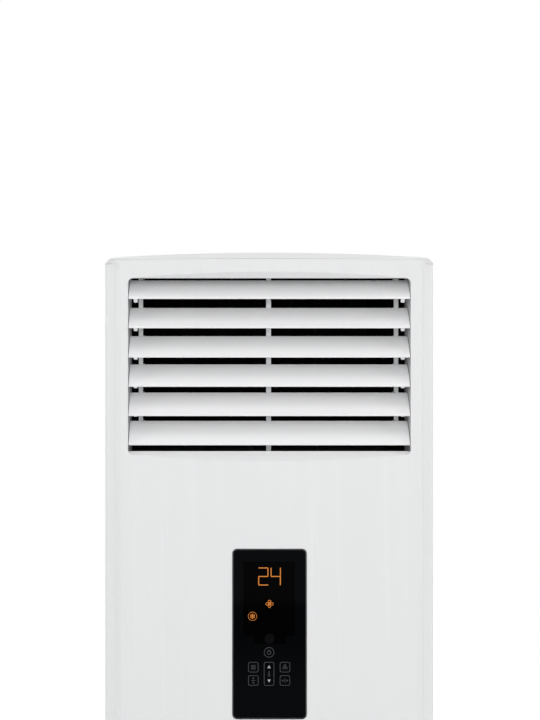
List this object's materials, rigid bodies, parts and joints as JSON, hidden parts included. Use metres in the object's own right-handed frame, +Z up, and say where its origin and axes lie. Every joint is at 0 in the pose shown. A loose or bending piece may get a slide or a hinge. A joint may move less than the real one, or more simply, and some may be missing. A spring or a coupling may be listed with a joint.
{
  "type": "floor standing air conditioner",
  "caption": "Tall column air conditioner with a bowed white front, a louvred outlet at the top, an upright display and a slotted intake panel below.",
  "frame": {"origin": "on the floor under the centre of the cabinet's width and depth", "axes": "+Z up, the front faces -Y, +X to the right seen from the front"},
  "size_m": [0.54, 0.41, 1.825],
  "materials": {
    "panel_plastic": "satin",
    "cabinet_paint": "satin",
    "galvanised_steel": "satin",
    "screw_steel": "satin",
    "foot_rubber": "matte",
    "blade_plastic": "satin",
    "frame_plastic": "matte",
    "vane_plastic": "matte",
    "post_plastic": "matte",
    "dark_plastic": "matte",
    "rim_silver": "satin",
    "display_black": "gloss",
    "board_green": "satin",
    "terminal_cream": "matte",
    "duct_foam": "matte",
    "fin_aluminium": "brushed",
    "pipe_copper": "satin",
    "nut_brass": "satin",
    "scroll_plastic": "matte",
    "wheel_plastic": "satin",
    "shaft_steel": "satin",
    "motor_paint": "satin",
    "filter_mesh": "matte"
  },
  "bodies": {
    "cabinet": {"base_pan": "galvanised_steel", "base_feet": "foot_rubber", "plinth": "panel_plastic", "rear_panel": "cabinet_paint", "rear_screws": "screw_steel", "left_side_panel": "cabinet_paint", "right_side_panel": "cabinet_paint", "left_column": "panel_plastic", "right_column": "panel_plastic", "top_cover": "panel_plastic", "upper_fascia": "panel_plastic", "wall_bracket": "galvanised_steel", "grommets": "foot_rubber", "louvre_frame": "frame_plastic", "louvre_centre_post": "post_plastic", "louvre_motor": "dark_plastic", "vane_cassette": "dark_plastic", "vane_motor": "dark_plastic", "display_bezel": "rim_silver", "display_window": "display_black", "display_board": "board_green", "air_duct": "duct_foam", "evaporator_fins": "fin_aluminium", "evaporator_tubes": "pipe_copper", "evaporator_end_plates": "galvanised_steel", "drain_pan": "frame_plastic", "scroll_housing": "scroll_plastic", "inlet_ring": "scroll_plastic", "fan_motor": "motor_paint", "motor_bracket": "galvanised_steel", "gas_pipe": "pipe_copper", "liquid_pipe": "pipe_copper", "flare_nuts": "nut_brass", "electrical_box": "galvanised_steel", "electrical_cover": "galvanised_steel", "control_board": "board_green", "terminal_block": "terminal_cream", "filter_frame": "scroll_plastic"},
    "intake_panel": {"intake_panel": "panel_plastic"},
    "air_filter": {"air_filter": "filter_mesh"},
    "fan_rotor": {"fan_wheel_plate": "wheel_plastic", "fan_wheel_ring": "wheel_plastic", "fan_wheel_blades": "wheel_plastic", "motor_shaft": "shaft_steel"},
    "blade_1": {"louvre_blade_1": "blade_plastic"},
    "blade_2": {"louvre_blade_2": "blade_plastic"},
    "blade_3": {"louvre_blade_3": "blade_plastic"},
    "blade_4": {"louvre_blade_4": "blade_plastic"},
    "blade_5": {"louvre_blade_5": "blade_plastic"},
    "blade_6": {"louvre_blade_6": "blade_plastic"},
    "louvre_links": {"louvre_link_bars": "blade_plastic"},
    "upright_vane_1": {"vane_1": "vane_plastic"},
    "upright_vane_2": {"vane_2": "vane_plastic"},
    "upright_vane_3": {"vane_3": "vane_plastic"},
    "upright_vane_4": {"vane_4": "vane_plastic"},
    "upright_vane_5": {"vane_5": "vane_plastic"},
    "upright_vane_6": {"vane_6": "vane_plastic"},
    "upright_vane_7": {"vane_7": "vane_plastic"},
    "upright_vane_8": {"vane_8": "vane_plastic"},
    "vane_links": {"vane_link_bar": "vane_plastic"}
  },
  "joints": [
    {"name": "intake_panel_hinge", "type": "hinge", "parent": "cabinet", "child": "intake_panel", "pos_m": [0, -0.1945, 0.77], "axis": [-1, 0, 0], "range_deg": [0, 35]},
    {"name": "air_filter_slide", "type": "slide", "parent": "cabinet", "child": "air_filter", "axis": [0, 0, 1], "range_m": [0, 0.15]},
    {"name": "fan_spin", "type": "hinge", "parent": "cabinet", "child": "fan_rotor", "pos_m": [-0.02, 0, 0.285], "axis": [0, 1, 0], "continuous": true},
    {"name": "louvre_1", "type": "hinge", "parent": "cabinet", "child": "blade_1", "pos_m": [0, -0.17104, 1.7654], "axis": [1, 0, 0], "range_deg": [-55, 34]},
    {"name": "louvre_2", "type": "hinge", "parent": "cabinet", "child": "blade_2", "pos_m": [0, -0.17104, 1.718], "axis": [1, 0, 0], "range_deg": [-55, 34]},
    {"name": "louvre_3", "type": "hinge", "parent": "cabinet", "child": "blade_3", "pos_m": [0, -0.17104, 1.6706], "axis": [1, 0, 0], "range_deg": [-55, 34]},
    {"name": "louvre_4", "type": "hinge", "parent": "cabinet", "child": "blade_4", "pos_m": [0, -0.17104, 1.6232], "axis": [1, 0, 0], "range_deg": [-55, 34]},
    {"name": "louvre_5", "type": "hinge", "parent": "cabinet", "child": "blade_5", "pos_m": [0, -0.17104, 1.5758], "axis": [1, 0, 0], "range_deg": [-55, 34]},
    {"name": "louvre_6", "type": "hinge", "parent": "cabinet", "child": "blade_6", "pos_m": [0, -0.17104, 1.5284], "axis": [1, 0, 0], "range_deg": [-55, 34]},
    {"name": "louvre_link", "type": "hinge", "parent": "blade_3", "child": "louvre_links", "pos_m": [0, -0.13913, 1.68497], "axis": [1, 0, 0], "range_deg": [-34, 55]},
    {"name": "vane_turn_1", "type": "hinge", "parent": "cabinet", "child": "upright_vane_1", "pos_m": [-0.2134, -0.05604, 1.6427], "axis": [0, 0, 1], "range_deg": [-60, 5]},
    {"name": "vane_turn_2", "type": "hinge", "parent": "cabinet", "child": "upright_vane_2", "pos_m": [-0.149, -0.05604, 1.6427], "axis": [0, 0, 1], "range_deg": [-60, 5]},
    {"name": "vane_turn_3", "type": "hinge", "parent": "cabinet", "child": "upright_vane_3", "pos_m": [-0.0846, -0.05604, 1.6427], "axis": [0, 0, 1], "range_deg": [-60, 5]},
    {"name": "vane_turn_4", "type": "hinge", "parent": "cabinet", "child": "upright_vane_4", "pos_m": [-0.0202, -0.05604, 1.6427], "axis": [0, 0, 1], "range_deg": [-60, 5]},
    {"name": "vane_turn_5", "type": "hinge", "parent": "cabinet", "child": "upright_vane_5", "pos_m": [0.0202, -0.05604, 1.6427], "axis": [0, 0, 1], "range_deg": [-60, 5]},
    {"name": "vane_turn_6", "type": "hinge", "parent": "cabinet", "child": "upright_vane_6", "pos_m": [0.0846, -0.05604, 1.6427], "axis": [0, 0, 1], "range_deg": [-60, 5]},
    {"name": "vane_turn_7", "type": "hinge", "parent": "cabinet", "child": "upright_vane_7", "pos_m": [0.149, -0.05604, 1.6427], "axis": [0, 0, 1], "range_deg": [-60, 5]},
    {"name": "vane_turn_8", "type": "hinge", "parent": "cabinet", "child": "upright_vane_8", "pos_m": [0.2134, -0.05604, 1.6427], "axis": [0, 0, 1], "range_deg": [-60, 5]},
    {"name": "vane_link", "type": "hinge", "parent": "upright_vane_6", "child": "vane_links", "pos_m": [0.0746, -0.03872, 1.4984], "axis": [0, 0, 1], "range_deg": [-5, 60]}
  ],
  "couplings": [
    {"joint": "louvre_1", "follows": "louvre_3", "ratio": 1},
    {"joint": "louvre_2", "follows": "louvre_3", "ratio": 1},
    {"joint": "louvre_4", "follows": "louvre_3", "ratio": 1},
    {"joint": "louvre_5", "follows": "louvre_3", "ratio": 1},
    {"joint": "louvre_6", "follows": "louvre_3", "ratio": 1},
    {"joint": "louvre_link", "follows": "louvre_3", "ratio": -1},
    {"joint": "vane_turn_1", "follows": "vane_turn_6", "ratio": 1},
    {"joint": "vane_turn_2", "follows": "vane_turn_6", "ratio": 1},
    {"joint": "vane_turn_3", "follows": "vane_turn_6", "ratio": 1},
    {"joint": "vane_turn_4", "follows": "vane_turn_6", "ratio": 1},
    {"joint": "vane_turn_5", "follows": "vane_turn_6", "ratio": 1},
    {"joint": "vane_turn_7", "follows": "vane_turn_6", "ratio": 1},
    {"joint": "vane_turn_8", "follows": "vane_turn_6", "ratio": 1},
    {"joint": "vane_link", "follows": "vane_turn_6", "ratio": -1}
  ]
}
